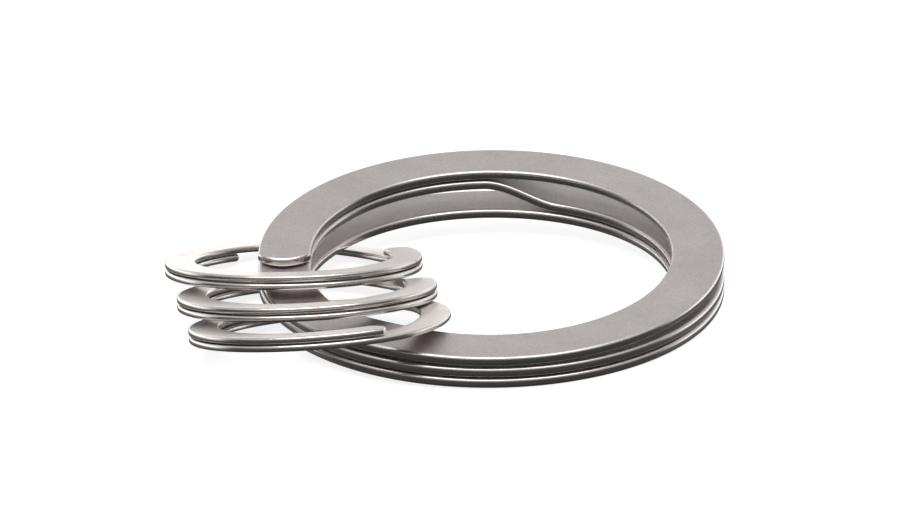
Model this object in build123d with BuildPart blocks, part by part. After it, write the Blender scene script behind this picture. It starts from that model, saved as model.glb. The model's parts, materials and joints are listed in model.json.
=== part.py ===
from build123d import *

import os
from math import cos, degrees, radians, sin

# Split key ring: one large split ring of three turns, with three small split rings
# threaded on its left limb.  All sizes are in millimetres and degrees.
# Angles round a ring are counter-clockwise from +X, seen from above.  Every strip is
# wound clockwise from its upper free end, so its angles fall along the strip.

# ---- Driving dimensions: the large ring ----
RING_OUTER_DIAMETER = 34.0
STRIP_WIDTH = 3.86
STRIP_THICKNESS = 0.72
EDGE_RADIUS = 0.26          # tumbled round of the strip's long edges
UPPER_PITCH = 0.85          # first turn to second turn, in the flat upper pair
LOWER_PITCH = 0.84          # second turn to third turn, in the leaning lower pair
LOWER_DROP = 1.72           # top turn to the lower pair, on the ring's axis
LOWER_LEAN = 2.76           # lean of the lower pair, down at the back
UPPER_TIP = 184.0           # angle of the lifting end
LOWER_TIP = -869.0          # angle of the bottom end, three turns later
UPPER_STEP = (-114.0, -163.0)   # first turn steps down and passes under the lifting end
CROOK_STEP = (-268.0, -292.0)   # sharp crook from the upper pair to the lower pair
LOWER_STEP = (-505.0, -573.0)   # second turn steps down and becomes the third
LEAF_ROOT = 40.0            # where the opening part of the top turn bends
LEAF_GAP = 0.03             # parting gap between the opening part and the rest
TIP_NOSE = 2.3              # radius of the rounded free ends

# ---- Driving dimensions: the small rings ----
SMALL_OUTER_DIAMETER = 18.9
SMALL_WIDTH = 2.23
SMALL_THICKNESS = 0.48
SMALL_EDGE_RADIUS = 0.18
SMALL_PITCH = 0.58
SMALL_NOSE = 1.3
SMALL_CROSSOVER = 93.0      # angle over which the strip crosses from upper to lower turn

# Each small ring lies on the left limb of the large one: bearing and reach of its
# centre from the large ring's axis, height over the top turn's face, tilt (front rim
# up), roll (right rim up), the angle of its upper free end in its own plane, and how
# far its lower free end stands from the upper one.
SMALL_RINGS = {
    "small_ring_upper": (168.4, 14.78, -2.47, 18.5, 0.9, 29.0, 93.0),
    "small_ring_middle": (197.1, 14.0, -1.46, 18.9, 2.5, 20.0, 93.0),
    "small_ring_lower": (220.2, 16.2, -0.59, 19.5, 3.9, -56.0, 140.0),
}

# ---- How the object lies on a table ----
LIE_BACK_UP = 5.54          # the back of the large ring stands up by this
LIE_LEFT_UP = 1.15          # and its left side by this
LIE_ORIGIN = (3.50, 1.21, 4.145)  # centre of the top turn's face above the table

STEP_SECTIONS = 9

# ---- Derived dimensions ----
RING_RADIUS = (RING_OUTER_DIAMETER - STRIP_WIDTH) / 2
SMALL_RADIUS = (SMALL_OUTER_DIAMETER - SMALL_WIDTH) / 2
LARGE_STRIP = (STRIP_WIDTH, STRIP_THICKNESS, EDGE_RADIUS)
SMALL_STRIP = (SMALL_WIDTH, SMALL_THICKNESS, SMALL_EDGE_RADIUS)

lie = Location(LIE_ORIGIN, (LIE_BACK_UP, LIE_LEFT_UP, 0))
first_turn = Plane(lie * Location((0, 0, -STRIP_THICKNESS / 2)))
second_turn = first_turn.offset(-UPPER_PITCH)
lower_pair = Plane(lie * Location((0, 0, -STRIP_THICKNESS / 2 - LOWER_DROP), (-LOWER_LEAN, 0, 0)))
third_turn = lower_pair.offset(-LOWER_PITCH)


def direction(plane, angle):
    """Unit vector at an angle in a turn's plane."""
    return plane.x_dir * cos(radians(angle)) + plane.y_dir * sin(radians(angle))


def section_plane(plane, radius, angle):
    """Plane across a flat turn: x points outwards, the normal along the strip."""
    outwards = direction(plane, angle)
    return Plane(plane.origin + outwards * radius, x_dir=outwards, z_dir=direction(plane, angle - 90))


def step_plane(upper, lower, radius, start, end, share):
    """Plane across the strip where it steps from one turn's plane to another's."""

    def place(part_way):
        angle = start + (end - start) * part_way
        weight = part_way * part_way * (3 - 2 * part_way)
        above = upper.origin + direction(upper, angle) * radius
        below = lower.origin + direction(lower, angle) * radius
        outwards = direction(upper, angle) * (1 - weight) + direction(lower, angle) * weight
        return above * (1 - weight) + below * weight, outwards

    little = 1e-4
    centre, outwards = place(share)
    along = place(share + little)[0] - place(share - little)[0]
    return Plane(centre, x_dir=outwards, z_dir=along)


def strip_section(plane, strip):
    """Section of a flat strip with rounded edges, drawn on a plane across it."""
    width, thickness, edge_radius = strip
    with BuildSketch(plane) as section:
        RectangleRounded(width, thickness, edge_radius)
    return section.sketch


def add_turn(plane, radius, strip, start, end):
    """Add a flat stretch of strip, clockwise from start to end, to the open part."""
    section = strip_section(section_plane(plane, radius, start), strip)
    axis = Axis(plane.origin, -plane.z_dir)
    revolve(profiles=section.faces(), axis=axis, revolution_arc=start - end)


def add_step(upper, lower, radius, strip, step):
    """Add the stretch where the strip steps from one turn down to the next."""
    start, end = step
    planes = [section_plane(upper, radius, start)]
    for index in range(1, STEP_SECTIONS - 1):
        planes.append(step_plane(upper, lower, radius, start, end, index / (STEP_SECTIONS - 1)))
    planes.append(section_plane(lower, radius, end))
    loft(sections=[strip_section(plane, strip).face() for plane in planes])


def nose_plane(plane, radius, tip, nose, way):
    """Plane at the centre of a free end's round: y points to the tip."""
    centre_angle = tip - way * degrees(nose / radius)
    outwards = direction(plane, centre_angle)
    centre = plane.origin + outwards * radius
    return Plane(centre, x_dir=outwards * way, z_dir=plane.z_dir)


def round_end(plane, radius, strip, tip, nose, way):
    """Cut a free end to a round nose; way is 1 for the upper end and -1 for the lower."""
    width, thickness, _ = strip
    with BuildSketch(nose_plane(plane, radius, tip, nose, way)) as waste:
        Rectangle(2 * width, 3 * nose, align=(Align.CENTER, Align.MIN))
        Circle(nose, mode=Mode.SUBTRACT)
    extrude(waste.sketch, amount=thickness / 2 + 0.04, both=True, mode=Mode.SUBTRACT)


# ---- Large ring: the part of the top turn that opens, from its free end to its root ----
with BuildPart() as opening_turn:
    add_turn(first_turn, RING_RADIUS, LARGE_STRIP, UPPER_TIP + 1, LEAF_ROOT)
    round_end(first_turn, RING_RADIUS, LARGE_STRIP, UPPER_TIP, TIP_NOSE, 1)
opening_turn.part.label = "large_ring_opening_turn"

# ---- Large ring: the rest of the coil, down to the bottom end ----
leaf_gap_angle = degrees(LEAF_GAP / RING_RADIUS)
with BuildPart() as large_ring:
    add_turn(first_turn, RING_RADIUS, LARGE_STRIP, LEAF_ROOT - leaf_gap_angle, UPPER_STEP[0])
    add_step(first_turn, second_turn, RING_RADIUS, LARGE_STRIP, UPPER_STEP)
    add_turn(second_turn, RING_RADIUS, LARGE_STRIP, UPPER_STEP[1], CROOK_STEP[0])
    add_step(second_turn, lower_pair, RING_RADIUS, LARGE_STRIP, CROOK_STEP)
    add_turn(lower_pair, RING_RADIUS, LARGE_STRIP, CROOK_STEP[1], LOWER_STEP[0])
    add_step(lower_pair, third_turn, RING_RADIUS, LARGE_STRIP, LOWER_STEP)
    add_turn(third_turn, RING_RADIUS, LARGE_STRIP, LOWER_STEP[1], LOWER_TIP - 1)
    round_end(third_turn, RING_RADIUS, LARGE_STRIP, LOWER_TIP, TIP_NOSE, -1)
large_ring.part.label = "large_ring"

os.makedirs("parts", exist_ok=True)
export_step(opening_turn.part, "parts/large_ring_opening_turn.step")
export_step(large_ring.part, "parts/large_ring.step")

# ---- Small rings: one strip of nearly two turns each ----
for name, (bearing, reach, height, tilt, roll, upper_tip, tips_apart) in SMALL_RINGS.items():
    centre = (reach * cos(radians(bearing)), reach * sin(radians(bearing)), height)
    middle = Plane(lie * Location(centre, (-tilt, -roll, 0)))
    upper = middle.offset(SMALL_PITCH / 2)
    lower = middle.offset(-SMALL_PITCH / 2)
    crossover = (upper_tip + SMALL_CROSSOVER - 360, upper_tip - 360)
    lower_tip = upper_tip + tips_apart - 720
    with BuildPart() as small_ring:
        add_turn(upper, SMALL_RADIUS, SMALL_STRIP, upper_tip + 1, crossover[0])
        add_step(upper, lower, SMALL_RADIUS, SMALL_STRIP, crossover)
        add_turn(lower, SMALL_RADIUS, SMALL_STRIP, crossover[1], lower_tip - 1)
        round_end(upper, SMALL_RADIUS, SMALL_STRIP, upper_tip, SMALL_NOSE, 1)
        round_end(lower, SMALL_RADIUS, SMALL_STRIP, lower_tip, SMALL_NOSE, -1)
    small_ring.part.label = name
    export_step(small_ring.part, f"parts/{name}.step")
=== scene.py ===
"""Split key ring: a large split ring of three turns with three small split rings on its left limb.

Each ring is made the way the real one is: a flat blank of spring strip is cut to length, its
free ends are rounded, its edges are tumbled round, and the blank is wound into its coil.
Lengths are in millimetres and angles in degrees until a mesh or a place is handed to Blender.
"""

import json
import logging
import math
from dataclasses import dataclass, field
from enum import Enum

import bmesh
import bpy
import numpy as np
from mathutils import Euler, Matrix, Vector

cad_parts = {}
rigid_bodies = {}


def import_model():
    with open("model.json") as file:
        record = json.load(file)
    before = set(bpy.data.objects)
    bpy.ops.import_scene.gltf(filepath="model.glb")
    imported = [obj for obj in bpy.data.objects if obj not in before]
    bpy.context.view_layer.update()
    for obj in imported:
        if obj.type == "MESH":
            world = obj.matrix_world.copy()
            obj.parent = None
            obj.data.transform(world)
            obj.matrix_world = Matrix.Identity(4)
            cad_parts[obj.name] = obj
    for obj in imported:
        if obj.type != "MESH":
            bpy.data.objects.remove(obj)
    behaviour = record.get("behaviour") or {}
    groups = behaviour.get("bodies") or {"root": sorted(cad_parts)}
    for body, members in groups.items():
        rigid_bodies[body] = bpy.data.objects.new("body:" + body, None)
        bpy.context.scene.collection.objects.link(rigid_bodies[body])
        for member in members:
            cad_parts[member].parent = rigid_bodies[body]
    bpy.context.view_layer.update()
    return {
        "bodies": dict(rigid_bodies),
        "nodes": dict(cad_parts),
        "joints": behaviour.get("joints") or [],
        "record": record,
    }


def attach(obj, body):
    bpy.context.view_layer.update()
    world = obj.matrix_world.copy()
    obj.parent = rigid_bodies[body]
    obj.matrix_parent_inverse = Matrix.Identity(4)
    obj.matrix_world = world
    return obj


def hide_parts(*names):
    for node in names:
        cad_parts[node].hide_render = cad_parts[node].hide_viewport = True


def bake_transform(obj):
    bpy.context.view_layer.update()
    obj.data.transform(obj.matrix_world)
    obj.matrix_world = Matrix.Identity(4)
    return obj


MM = 0.001
LOG = logging.getLogger("split_key_ring")

# How the object lies on the table, as the top turn's lean.
LIE_BACK_UP = 5.54
LIE_LEFT_UP = 1.15

NOISE_RANGE = {"From Min": 0.3, "From Max": 0.7}    # nearly all of a noise texture's values
POLISH_AND_SHEEN_DEPTH = 0.4    # depth below a face where the edge is full, in edge radii: its polished roughness, and its lighter colour that is a painted highlight
SHARP_ANGLE = 60.0      # a blank's edges sharper than this are rounded
SMOOTH_ANGLE = 40.0     # a finished strip is shaded smooth below this
LEVEL_MM = 1e-4         # points nearer in height or length than this count as level
SMALL_SHARE = 1e-4      # share of a stretch over which its direction is measured


def linear(hex_colour: str) -> tuple[float, float, float, float]:
    """Turn an sRGB hex colour into linear red, green, blue and alpha.

    Args:
        hex_colour: Six hex digits after a hash.

    Returns:
        The linear colour with an alpha of 1.
    """
    parts = [int(hex_colour[i:i + 2], 16) / 255 for i in (1, 3, 5)]
    return (*[p / 12.92 if p <= 0.04045 else ((p + 0.055) / 1.055) ** 2.4 for p in parts], 1.0)


def add_node(tree: bpy.types.NodeTree, kind: str, settings: dict | None = None,
             links: dict | None = None) -> bpy.types.Node:
    """Add a node with its settings and its incoming links.

    Args:
        tree: The node tree.
        kind: The node's type name.
        settings: Values by attribute name, or by input socket name or number.
        links: Output sockets by the input socket name or number they feed.

    Returns:
        The new node.
    """
    node = tree.nodes.new(kind)
    for key, value in (settings or {}).items():
        if isinstance(key, str) and hasattr(node, key):
            setattr(node, key, value)
        else:
            node.inputs[key].default_value = value
    for key, socket in (links or {}).items():
        tree.links.new(socket, node.inputs[key])
    return node


def set_ramp(node: bpy.types.Node, stops: tuple[tuple[float, float], ...]) -> None:
    """Give a colour ramp its grey stops.

    Args:
        node: The colour ramp node.
        stops: Position and grey level of each stop, in order.
    """
    elements = node.color_ramp.elements
    while len(elements) < len(stops):
        elements.new(1.0)
    for element, (place, level) in zip(elements, stops):
        element.position = place
        element.color = (level, level, level, 1.0)


@dataclass(frozen=True)
class TumbledStainless:
    """Stainless spring steel, rolled flat, coiled and tumbled in ceramic media.

    The flat faces keep a fine matte grain, and the media polish the rounded edges smooth; the edges'
    own colour is painted a little lighter on the large ring, a painted highlight.
    """

    name: str
    face_colour: str
    edge_sheen_colour: str
    face_roughness: float
    edge_roughness: float
    grain_mm: float
    grain_depth_mm: float
    blotch_mm: float = 3.5
    streak_length_mm: float = 2.4
    streak_width_mm: float = 0.07
    mottle: float = 0.05            # how much the clouding lightens and darkens
    speckle: float = 0.09           # how much the grain does
    unevenness: float = 0.05        # how much the rolling lines change the roughness
    line_depth: float = 0.2         # depth of the rolling lines, as a share of the grain's

    def material(self) -> bpy.types.Material:
        """Build the node material.

        Returns:
            The material, which reads the attributes "strip" and "edge" of a wound strip.
        """
        material = bpy.data.materials.new(self.name)
        material.use_nodes = True
        tree = material.node_tree
        tree.nodes.clear()
        place = add_node(tree, "ShaderNodeTexCoord").outputs["Object"]
        edge = add_node(tree, "ShaderNodeAttribute", {"attribute_name": "edge"}).outputs["Fac"]

        # Grain of the tumbling media, as small even pits. Real pits are near 0.03 mm, too fine
        # to show, so they are drawn coarser.
        grain = add_node(tree, "ShaderNodeTexNoise",
                         {"Scale": 1 / (self.grain_mm * MM), "Detail": 2.0, "Roughness": 0.6},
                         {"Vector": place}).outputs["Fac"]
        # Slow clouding, where the media reached the face unevenly.
        blotch = add_node(tree, "ShaderNodeTexNoise",
                          {"Scale": 1 / (self.blotch_mm * MM), "Detail": 3.0, "Roughness": 0.55},
                          {"Vector": place}).outputs["Fac"]
        # Rolling lines along the strip, which show on its edges and walls. They too are drawn
        # a few times wider than real ones.
        strip = add_node(tree, "ShaderNodeAttribute", {"attribute_name": "strip"}).outputs["Vector"]
        across = 1 / (self.streak_width_mm * MM)
        stretched = add_node(tree, "ShaderNodeMapping",
                             {"vector_type": "POINT",
                              "Scale": (1 / (self.streak_length_mm * MM), across, across)},
                             {"Vector": strip}).outputs["Vector"]
        streak = add_node(tree, "ShaderNodeTexNoise", {"Scale": 1.0, "Detail": 2.0, "Roughness": 0.5},
                          {"Vector": stretched}).outputs["Fac"]

        # Face and edge colours mixed by the edge mask: the large ring's lighter edge colour is a
        # painted highlight along its rounded edges.
        face_with_painted_edge_sheen = add_node(tree, "ShaderNodeMix",
                        {"data_type": "RGBA", 6: linear(self.face_colour), 7: linear(self.edge_sheen_colour)},
                        {0: edge})
        clouds = add_node(tree, "ShaderNodeMapRange",
                          {**NOISE_RANGE, "To Min": 1 - self.mottle, "To Max": 1 + self.mottle},
                          {"Value": blotch}).outputs[0]
        dots = add_node(tree, "ShaderNodeMapRange",
                        {**NOISE_RANGE, "To Min": 1 - self.speckle, "To Max": 1 + self.speckle},
                        {"Value": grain}).outputs[0]
        tone = add_node(tree, "ShaderNodeMath", {"operation": "MULTIPLY"},
                        {0: clouds, 1: dots}).outputs[0]
        colour = add_node(tree, "ShaderNodeVectorMath", {"operation": "SCALE"},
                          {0: face_with_painted_edge_sheen.outputs[2], "Scale": tone}).outputs[0]

        gloss = add_node(tree, "ShaderNodeMapRange",
                         {"To Min": self.face_roughness, "To Max": self.edge_roughness},
                         {"Value": edge}).outputs[0]
        uneven = add_node(tree, "ShaderNodeMapRange",
                          {**NOISE_RANGE, "To Min": -self.unevenness, "To Max": self.unevenness},
                          {"Value": streak}).outputs[0]
        roughness = add_node(tree, "ShaderNodeMath", {"operation": "ADD", "use_clamp": True},
                             {0: gloss, 1: uneven}).outputs[0]

        face_only = add_node(tree, "ShaderNodeMath", {"operation": "SUBTRACT", 0: 1.0},
                             {1: edge}).outputs[0]
        pits = add_node(tree, "ShaderNodeMath", {"operation": "MULTIPLY"},
                        {0: grain, 1: face_only}).outputs[0]
        lines = add_node(tree, "ShaderNodeMath", {"operation": "MULTIPLY"},
                         {0: streak, 1: edge}).outputs[0]
        height = add_node(tree, "ShaderNodeMath", {"operation": "MULTIPLY_ADD", 1: self.line_depth},
                          {0: lines, 2: pits}).outputs[0]
        bump = add_node(tree, "ShaderNodeBump", {"Strength": 1.0, "Distance": self.grain_depth_mm * MM},
                        {"Height": height}).outputs["Normal"]

        shader = add_node(tree, "ShaderNodeBsdfPrincipled", {"Metallic": 1.0},
                          {"Base Color": colour, "Roughness": roughness, "Normal": bump})
        add_node(tree, "ShaderNodeOutputMaterial", {}, {"Surface": shader.outputs[0]})
        return material


# The large ring: grey matte faces with a fine warm grain, edges polished smoother and their colour
# painted a little lighter, a painted highlight.
LARGE_RING_STEEL = TumbledStainless(
    name="tumbled_stainless_large", face_colour="#D1CAC9", edge_sheen_colour="#DAD4D1",
    face_roughness=0.50, edge_roughness=0.19, grain_mm=0.16, grain_depth_mm=0.012)
# The small rings: thinner strip, tumbled longer, so brighter and smoother all over.
SMALL_RING_STEEL = TumbledStainless(
    name="tumbled_stainless_small", face_colour="#E6DFDB", edge_sheen_colour="#E4DFDB",
    face_roughness=0.33, edge_roughness=0.20, grain_mm=0.12, grain_depth_mm=0.0012)


@dataclass(frozen=True)
class TurnPlane:
    """The plane of a flat turn: its centre and its three directions, in millimetres."""

    centre: np.ndarray
    x: np.ndarray
    y: np.ndarray
    z: np.ndarray

    def offset(self, distance: float) -> "TurnPlane":
        """Return the parallel plane at a distance along the normal."""
        return TurnPlane(self.centre + self.z * distance, self.x, self.y, self.z)

    def outwards(self, angles: np.ndarray) -> np.ndarray:
        """Return the unit vectors at these angles in the plane."""
        turn = np.radians(angles)[:, None]
        return np.cos(turn) * self.x + np.sin(turn) * self.y

    def leaning(self, angle: float, shift: float) -> "TurnPlane":
        """Return the plane leant about its own X, its centre moved along the old normal.

        Args:
            angle: Turn about X in degrees.
            shift: Move along the normal in millimetres.

        Returns:
            The new plane.
        """
        c, s = math.cos(math.radians(angle)), math.sin(math.radians(angle))
        return TurnPlane(self.centre + self.z * shift, self.x, c * self.y + s * self.z,
                         c * self.z - s * self.y)


@dataclass(frozen=True)
class Stretch:
    """A stretch of a coil, from one angle down to another, that ends in another turn's plane."""

    start: float
    end: float
    upper: TurnPlane
    lower: TurnPlane

    def place(self, radius: float, share: np.ndarray) -> tuple[np.ndarray, np.ndarray]:
        """Return the centre line's points and outward directions at shares of the stretch.

        Args:
            radius: Mean radius of the coil.
            share: How far along the stretch each point is, from 0 to 1.

        Returns:
            The points and the directions, one row each.
        """
        angles = self.start + (self.end - self.start) * share
        weight = (share * share * (3 - 2 * share))[:, None]
        out_upper, out_lower = self.upper.outwards(angles), self.lower.outwards(angles)
        above = self.upper.centre + out_upper * radius
        below = self.lower.centre + out_lower * radius
        return above * (1 - weight) + below * weight, out_upper * (1 - weight) + out_lower * weight


@dataclass(frozen=True)
class Coil:
    """The path that a strip is wound along, clockwise from its upper tip seen from above."""

    radius: float
    tip: float
    stretches: tuple[Stretch, ...]

    def length_to(self, angle: float) -> float:
        """Return the strip's length from its upper tip to an angle."""
        return math.radians(self.tip - angle) * self.radius

    def wind(self, flat: np.ndarray) -> np.ndarray:
        """Wind a flat blank's points into the coil.

        Args:
            flat: One row a point: along the strip, across it and through its thickness.

        Returns:
            The points in the coil, one row each.
        """
        angles = self.tip - np.degrees(flat[:, 0] / self.radius)
        wound = np.empty_like(flat)
        for index, stretch in enumerate(self.stretches):
            chosen = angles <= stretch.start if index else np.ones(len(angles), bool)
            if index < len(self.stretches) - 1:
                chosen &= angles > stretch.end
            if not chosen.any():
                continue
            share = (stretch.start - angles[chosen]) / (stretch.start - stretch.end)
            centre, outwards = stretch.place(self.radius, share)
            ahead = stretch.place(self.radius, share + SMALL_SHARE)[0]
            back = stretch.place(self.radius, share - SMALL_SHARE)[0]
            along = ahead - back
            along /= np.linalg.norm(along, axis=1)[:, None]
            outwards -= (outwards * along).sum(1)[:, None] * along
            outwards /= np.linalg.norm(outwards, axis=1)[:, None]
            up = np.cross(along, outwards)
            wound[chosen] = centre + outwards * flat[chosen, 1:2] + up * flat[chosen, 2:3]
        return wound


class End(Enum):
    """How an end of a blank is left."""

    ROUND = "round"
    CUT = "cut"


@dataclass
class StripBlank:
    """A straight blank of flat strip with rounded long edges."""

    width: float
    thickness: float
    edge_radius: float
    nose_radius: float
    columns: int = 10           # faces across the strip
    edge_segments: int = 5      # faces round each edge
    nose_reach: float = 3.0     # how far from a round end its faces are eased

    def build(self, name: str, start: float, end: float, ends: tuple[End, End],
              stations: int) -> bpy.types.Object:
        """Make the blank along +X, its middle plane in Z = 0.

        Args:
            name: Name of the new piece.
            start: Where the blank starts along the whole strip.
            end: Where it ends.
            ends: How its first and last ends are left.
            stations: Number of faces along its length.

        Returns:
            The blank, in millimetres.
        """
        bpy.ops.object.select_all(action="DESELECT")
        bpy.ops.mesh.primitive_grid_add(x_subdivisions=stations, y_subdivisions=self.columns, size=1)
        blank = bpy.context.object
        blank.name = blank.data.name = name
        bpy.ops.object.mode_set(mode="EDIT")
        bpy.ops.mesh.select_all(action="SELECT")
        bpy.ops.transform.resize(value=(end - start, self.width, 1), center_override=(0, 0, 0))
        bpy.ops.transform.translate(value=((start + end) / 2, 0, 0))
        bpy.ops.object.mode_set(mode="OBJECT")
        self._round_noses(blank, start, end, ends)
        bpy.ops.object.modifier_add(type="SOLIDIFY")
        blank.modifiers[-1].thickness = self.thickness
        blank.modifiers[-1].offset = 0
        bpy.ops.object.modifier_apply(modifier=blank.modifiers[-1].name)
        self._round_edges(blank, start, end, ends)
        bpy.ops.object.shade_smooth_by_angle(angle=math.radians(SMOOTH_ANGLE))
        return blank

    def _round_noses(self, blank: bpy.types.Object, start: float, end: float,
                     ends: tuple[End, End]) -> None:
        """Draw each round end back to its arc, easing the faces next to it.

        Args:
            blank: The flat sheet, not yet thick.
            start: Where the blank starts along the whole strip.
            end: Where it ends.
            ends: How its first and last ends are left.
        """
        flat = read_points(blank)
        sagitta = self.nose_radius - np.sqrt(self.nose_radius ** 2 - flat[:, 1] ** 2)
        if ends[0] is End.ROUND:
            near = np.clip(1 - (flat[:, 0] - start) / self.nose_reach, 0, 1)
            flat[:, 0] += sagitta * near
        if ends[1] is End.ROUND:
            near = np.clip(1 - (end - flat[:, 0]) / self.nose_reach, 0, 1)
            flat[:, 0] -= sagitta * near
        write_points(blank, flat)

    def _round_edges(self, blank: bpy.types.Object, start: float, end: float,
                     ends: tuple[End, End]) -> None:
        """Round the long edges and the noses, but not a cut end.

        Args:
            blank: The thick blank.
            start: Where the blank starts along the whole strip.
            end: Where it ends.
            ends: How its first and last ends are left.
        """
        bpy.ops.object.mode_set(mode="EDIT")
        bpy.ops.mesh.select_mode(type="EDGE")
        bpy.ops.mesh.select_all(action="SELECT")
        bpy.ops.mesh.normals_make_consistent(inside=False)
        bpy.ops.mesh.select_all(action="DESELECT")
        bpy.ops.mesh.edges_select_sharp(sharpness=math.radians(SHARP_ANGLE))
        shape = bmesh.from_edit_mesh(blank.data)
        for edge in shape.edges:
            one, other = (vert.co for vert in edge.verts)
            upright = abs(one.z - other.z) > LEVEL_MM
            at_start = max(one.x, other.x) < start + LEVEL_MM and ends[0] is End.CUT
            at_end = min(one.x, other.x) > end - LEVEL_MM and ends[1] is End.CUT
            if upright or at_start or at_end:
                edge.select_set(False)
        bmesh.update_edit_mesh(blank.data)
        bpy.ops.mesh.bevel(offset=self.edge_radius, segments=self.edge_segments, affect="EDGES",
                           clamp_overlap=False)
        bpy.ops.mesh.select_all(action="SELECT")
        bpy.ops.mesh.normals_make_consistent(inside=False)
        bpy.ops.object.mode_set(mode="OBJECT")


def read_points(piece: bpy.types.Object) -> np.ndarray:
    """Return a mesh's points.

    Args:
        piece: The object that holds the mesh.

    Returns:
        The points, one row each.
    """
    flat = np.empty(len(piece.data.vertices) * 3)
    piece.data.vertices.foreach_get("co", flat)
    return flat.reshape(-1, 3)


def write_points(piece: bpy.types.Object, points: np.ndarray) -> None:
    """Move a mesh's points."""
    piece.data.vertices.foreach_set("co", points.ravel())
    piece.data.update()


def wind_strip(piece: bpy.types.Object, coil: Coil, blank: StripBlank) -> None:
    """Wind a blank into its coil, and keep on it where each point was in the strip.

    Args:
        piece: The straight blank, in millimetres.
        coil: The path to wind it along.
        blank: The blank's sizes.
    """
    flat = read_points(piece)
    strip = piece.data.attributes.new("strip", "FLOAT_VECTOR", "POINT")
    strip.data.foreach_set("vector", (flat * MM).ravel())
    edge = piece.data.attributes.new("edge", "FLOAT", "POINT")
    below_face = blank.thickness / 2 - np.abs(flat[:, 2])
    edge.data.foreach_set("value", np.clip(below_face / (POLISH_AND_SHEEN_DEPTH * blank.edge_radius), 0, 1))
    write_points(piece, coil.wind(flat) * MM)


@dataclass
class LargeRing:
    """The large split ring: a flat upper pair of turns, a crook at the back, a leaning lower pair."""

    outer_diameter: float = 34.0
    blank: StripBlank = field(default_factory=lambda: StripBlank(
        width=3.86, thickness=0.72, edge_radius=0.26, nose_radius=2.3))
    upper_pitch: float = 0.85
    lower_pitch: float = 0.84
    lower_drop: float = 1.72
    lower_lean: float = 2.76
    upper_tip: float = 184.0
    lower_tip: float = -869.0
    upper_step: tuple[float, float] = (-114.0, -163.0)
    crook_step: tuple[float, float] = (-268.0, -292.0)
    lower_step: tuple[float, float] = (-505.0, -573.0)
    seam: float = -109.5            # under the front of the lower small ring
    bend_towards: float = 130.0     # an angle out along the top turn; its direction there is worked out, but the turn is not bent
    bend_start: float = 7.5         # not used
    bend_end: float = -2.5          # not used
    station_degrees: float = 1.5

    @property
    def radius(self) -> float:
        """Mean radius of the coil."""
        return (self.outer_diameter - self.blank.width) / 2

    def top_plane(self, frame: dict) -> TurnPlane:
        """Place the top turn by the opening hinge.

        Args:
            frame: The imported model.

        Returns:
            The middle plane of the top turn.
        """
        lean = np.array(Euler((math.radians(LIE_BACK_UP), 0, 0)).to_matrix()
                        @ Euler((0, math.radians(LIE_LEFT_UP), 0)).to_matrix())
        x, y, z = lean[:, 0], lean[:, 1], lean[:, 2]
        hinge = np.array(joint_of(frame, "opening_turn")["pos_m"]) / MM
        return TurnPlane(hinge - y * self.radius + z * self.blank.thickness / 2, x, y, z)

    def coil(self, first: TurnPlane) -> Coil:
        """Lay out the ring's path, three turns down to its bottom end.

        Args:
            first: The middle plane of the top turn.

        Returns:
            The path.
        """
        second = first.offset(-self.upper_pitch)
        lower_pair = first.leaning(-self.lower_lean, -self.lower_drop)
        third = lower_pair.offset(-self.lower_pitch)
        return Coil(self.radius, self.upper_tip, (
            Stretch(self.upper_tip, self.upper_step[0], first, first),
            Stretch(*self.upper_step, first, second),
            Stretch(self.upper_step[1], self.crook_step[0], second, second),
            Stretch(*self.crook_step, second, lower_pair),
            Stretch(self.crook_step[1], self.lower_step[0], lower_pair, lower_pair),
            Stretch(*self.lower_step, lower_pair, third),
            Stretch(self.lower_step[1], self.lower_tip, third, third),
        ))

    def build(self, frame: dict, steel: bpy.types.Material) -> list[bpy.types.Object]:
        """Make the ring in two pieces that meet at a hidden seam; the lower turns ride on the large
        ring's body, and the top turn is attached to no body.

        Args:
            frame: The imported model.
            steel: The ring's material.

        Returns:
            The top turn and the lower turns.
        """
        first = self.top_plane(frame)
        coil = self.coil(first)
        seam = coil.length_to(self.seam)
        last = coil.length_to(self.lower_tip)
        top = self.blank.build("large_ring_top_turn", 0, seam, (End.ROUND, End.CUT),
                               round((self.upper_tip - self.seam) / self.station_degrees))
        rest = self.blank.build("large_ring_lower_turns", seam, last, (End.CUT, End.ROUND),
                                round((self.seam - self.lower_tip) / self.station_degrees))
        for piece in (top, rest):
            wind_strip(piece, coil, self.blank)
            piece.data.materials.append(steel)
        towards = first.outwards(np.array([self.bend_towards]))[0]
        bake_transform(top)
        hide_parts("large_ring_opening_turn")
        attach(rest, "large_ring")
        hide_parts("large_ring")
        return [top, rest]


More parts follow.
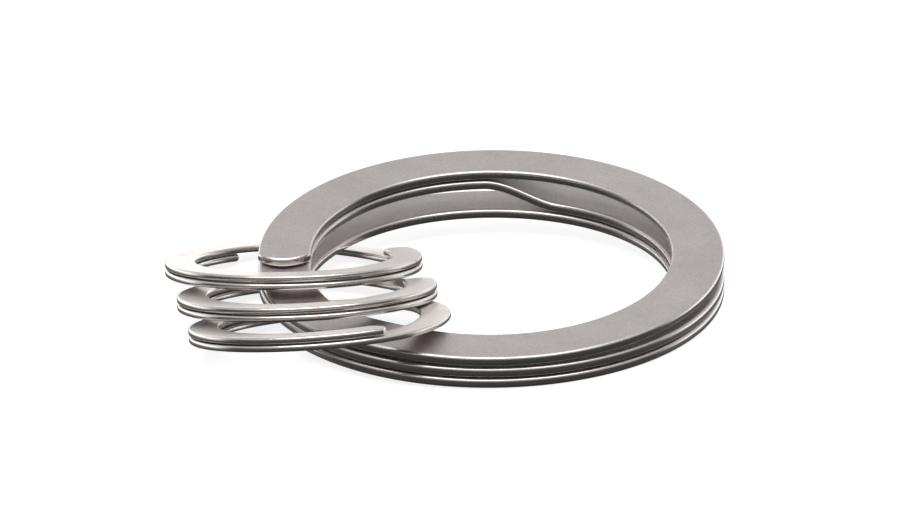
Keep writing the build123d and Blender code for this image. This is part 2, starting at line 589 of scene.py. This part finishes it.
@dataclass
class SmallRing:
    """A small split ring of nearly two turns, threaded on the large ring."""

    body: str
    upper_tip: float
    tips_apart: float = 93.0
    outer_diameter: float = 18.9
    blank: StripBlank = field(default_factory=lambda: StripBlank(
        width=2.23, thickness=0.48, edge_radius=0.18, nose_radius=1.3, columns=8, nose_reach=1.6))
    pitch: float = 0.58
    crossover: float = 93.0
    station_degrees: float = 2.0

    @property
    def radius(self) -> float:
        """Mean radius of the coil."""
        return (self.outer_diameter - self.blank.width) / 2

    def middle_plane(self, frame: dict, sideways: np.ndarray) -> TurnPlane:
        """Place the ring by its own joint.

        Args:
            frame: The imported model.
            sideways: The large ring's X direction.

        Returns:
            The plane halfway between the ring's two turns.
        """
        joint = joint_of(frame, self.body)
        z = np.array(joint["axis"], float)
        z /= np.linalg.norm(z)
        y = np.cross(z, sideways)
        y /= np.linalg.norm(y)
        return TurnPlane(np.array(joint["pos_m"]) / MM, np.cross(y, z), y, z)

    def build(self, frame: dict, sideways: np.ndarray, steel: bpy.types.Material) -> bpy.types.Object:
        """Make the ring.

        Args:
            frame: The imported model.
            sideways: The large ring's X direction.
            steel: The ring's material.

        Returns:
            The ring, riding on its own body.
        """
        middle = self.middle_plane(frame, sideways)
        upper, lower = middle.offset(self.pitch / 2), middle.offset(-self.pitch / 2)
        lower_tip = self.upper_tip + self.tips_apart - 720
        crossover = (self.upper_tip + self.crossover - 360, self.upper_tip - 360)
        coil = Coil(self.radius, self.upper_tip, (
            Stretch(self.upper_tip, crossover[0], upper, upper),
            Stretch(*crossover, upper, lower),
            Stretch(crossover[1], lower_tip, lower, lower),
        ))
        ring = self.blank.build(self.body + "_coil", 0, coil.length_to(lower_tip),
                                (End.ROUND, End.ROUND),
                                round((self.upper_tip - lower_tip) / self.station_degrees))
        wind_strip(ring, coil, self.blank)
        ring.data.materials.append(steel)
        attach(ring, self.body)
        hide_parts(self.body)
        return ring


def joint_of(frame: dict, body: str) -> dict:
    """Return the joint that moves a body."""
    return next(joint for joint in frame["joints"] if joint["child"] == body)


@dataclass
class Studio:
    """A pale table in a light tent: bright behind and overhead, dark in front below.

    The tent's grey levels, behind and before, are by height: 0 is straight down, 0.5 is level
    and 1 is straight up.
    """

    camera_mm: tuple[float, float, float] = (6.469, -542.594, 214.077)
    camera_turn: tuple[float, float, float] = (68.8299, 1.6219, -0.0738)
    lens_mm: float = 313.04
    table_drop_mm: float = 0.02
    table_size_mm: float = 4000.0
    behind: tuple[tuple[float, float], ...] = ((0.0, 0.04), (0.36, 0.10), (0.43, 1.0), (0.54, 1.0),
                                               (0.64, 0.58), (0.73, 0.47), (0.79, 0.36), (1.0, 0.38))
    before: tuple[tuple[float, float], ...] = ((0.0, 0.02), (0.30, 0.045), (0.46, 0.05), (0.52, 0.05),
                                               (0.62, 0.13), (0.75, 0.36), (0.86, 0.42), (1.0, 0.46))
    brightness: float = 1.5
    before_to_behind: tuple[float, float] = (-0.15, 0.35)
    table_colour: str = "#B4B4B4"
    table_roughness: float = 0.9
    table_glow: float = 0.84
    softbox_mm: tuple[float, float] = (520.0, 260.0)
    softbox_place_mm: tuple[float, float, float] = (0.0, -144.0, 395.0)
    softbox_turn: float = 20.0
    softbox_watts: float = 1.1

    def build(self) -> None:
        """Make the table, the light and the camera."""
        self._table()
        self._light()
        self._camera()

    def _table(self) -> None:
        """Make the plain pale table just under the object."""
        bpy.ops.object.select_all(action="DESELECT")
        bpy.ops.mesh.primitive_plane_add(size=self.table_size_mm * MM,
                                         location=(0, 0, -self.table_drop_mm * MM))
        table = bpy.context.object
        table.name = "pale_table"
        # Lit white card: its own light keeps the shadows faint, and the steel doesn't mirror it.
        card = bpy.data.materials.new("white_card")
        card.use_nodes = True
        tree = card.node_tree
        tree.nodes.clear()
        shader = add_node(tree, "ShaderNodeBsdfPrincipled",
                          {"Roughness": self.table_roughness, "Base Color": linear(self.table_colour),
                           "Emission Color": linear("#FFFFFF"), "Emission Strength": self.table_glow})
        add_node(tree, "ShaderNodeOutputMaterial", {}, {"Surface": shader.outputs[0]})
        table.data.materials.append(card)
        table.visible_glossy = False

    def _light(self) -> None:
        """Make the light tent, a sky graded by height that is plain white to the camera."""
        scene = bpy.context.scene
        world = bpy.data.worlds.new("light_tent")
        scene.world = world
        world.use_nodes = True
        tree = world.node_tree
        tree.nodes.clear()
        way = add_node(tree, "ShaderNodeTexCoord").outputs["Generated"]
        parts = add_node(tree, "ShaderNodeSeparateXYZ", {}, {0: way}).outputs
        height = add_node(tree, "ShaderNodeMath", {"operation": "MULTIPLY_ADD", 1: 0.5, 2: 0.5},
                          {0: parts["Z"]})
        behind = add_node(tree, "ShaderNodeValToRGB", {}, {0: height.outputs[0]})
        before = add_node(tree, "ShaderNodeValToRGB", {}, {0: height.outputs[0]})
        set_ramp(behind, self.behind)
        set_ramp(before, self.before)
        share = add_node(tree, "ShaderNodeMapRange",
                         {"interpolation_type": "SMOOTHSTEP", "From Min": self.before_to_behind[0],
                          "From Max": self.before_to_behind[1]}, {"Value": parts["Y"]})
        tent = add_node(tree, "ShaderNodeMix", {"data_type": "RGBA"},
                        {0: share.outputs[0], 6: before.outputs[0], 7: behind.outputs[0]})
        lit = add_node(tree, "ShaderNodeBackground", {"Strength": self.brightness},
                       {"Color": tent.outputs[2]})
        plain = add_node(tree, "ShaderNodeBackground", {"Strength": 1.0, "Color": linear("#FFFFFF")})
        seen = add_node(tree, "ShaderNodeLightPath").outputs["Is Camera Ray"]
        mixed = add_node(tree, "ShaderNodeMixShader", {},
                         {0: seen, 1: lit.outputs[0], 2: plain.outputs[0]})
        add_node(tree, "ShaderNodeOutputWorld", {}, {"Surface": mixed.outputs[0]})
        scene.view_settings.view_transform = "Standard"
        # A long softbox over the front draws the bright line along each rounded edge.
        lamp = bpy.data.lights.new("softbox", "AREA")
        lamp.shape, lamp.energy = "RECTANGLE", self.softbox_watts
        lamp.size, lamp.size_y = (side * MM for side in self.softbox_mm)
        softbox = bpy.data.objects.new("softbox", lamp)
        softbox.location = Vector(self.softbox_place_mm) * MM
        softbox.rotation_euler.x = math.radians(self.softbox_turn)
        scene.collection.objects.link(softbox)

    def _camera(self) -> None:
        """Make the camera: a long lens, a little above the table."""
        data = bpy.data.cameras.new("camera")
        data.lens = self.lens_mm
        data.clip_start, data.clip_end = 0.01, 20
        camera = bpy.data.objects.new("camera", data)
        camera.location = Vector(self.camera_mm) * MM
        camera.rotation_euler = Euler([math.radians(turn) for turn in self.camera_turn])
        bpy.context.scene.collection.objects.link(camera)
        bpy.context.scene.camera = camera


def main() -> None:
    """Build the rings around the frame, then the studio, and report each piece."""
    logging.basicConfig(level=logging.INFO, format="%(message)s")
    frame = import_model()
    large = LargeRing()
    sideways = large.top_plane(frame).x
    pieces = large.build(frame, LARGE_RING_STEEL.material())
    small_steel = SMALL_RING_STEEL.material()
    small_rings = (SmallRing("small_ring_upper", 29.0), SmallRing("small_ring_middle", 20.0),
                   SmallRing("small_ring_lower", -56.0, tips_apart=140.0))
    for ring in small_rings:
        pieces.append(ring.build(frame, sideways, small_steel))
    for piece in pieces:
        LOG.info("%s: %d faces", piece.name, len(piece.data.polygons))
    Studio().build()


if __name__ == "__main__":
    main()
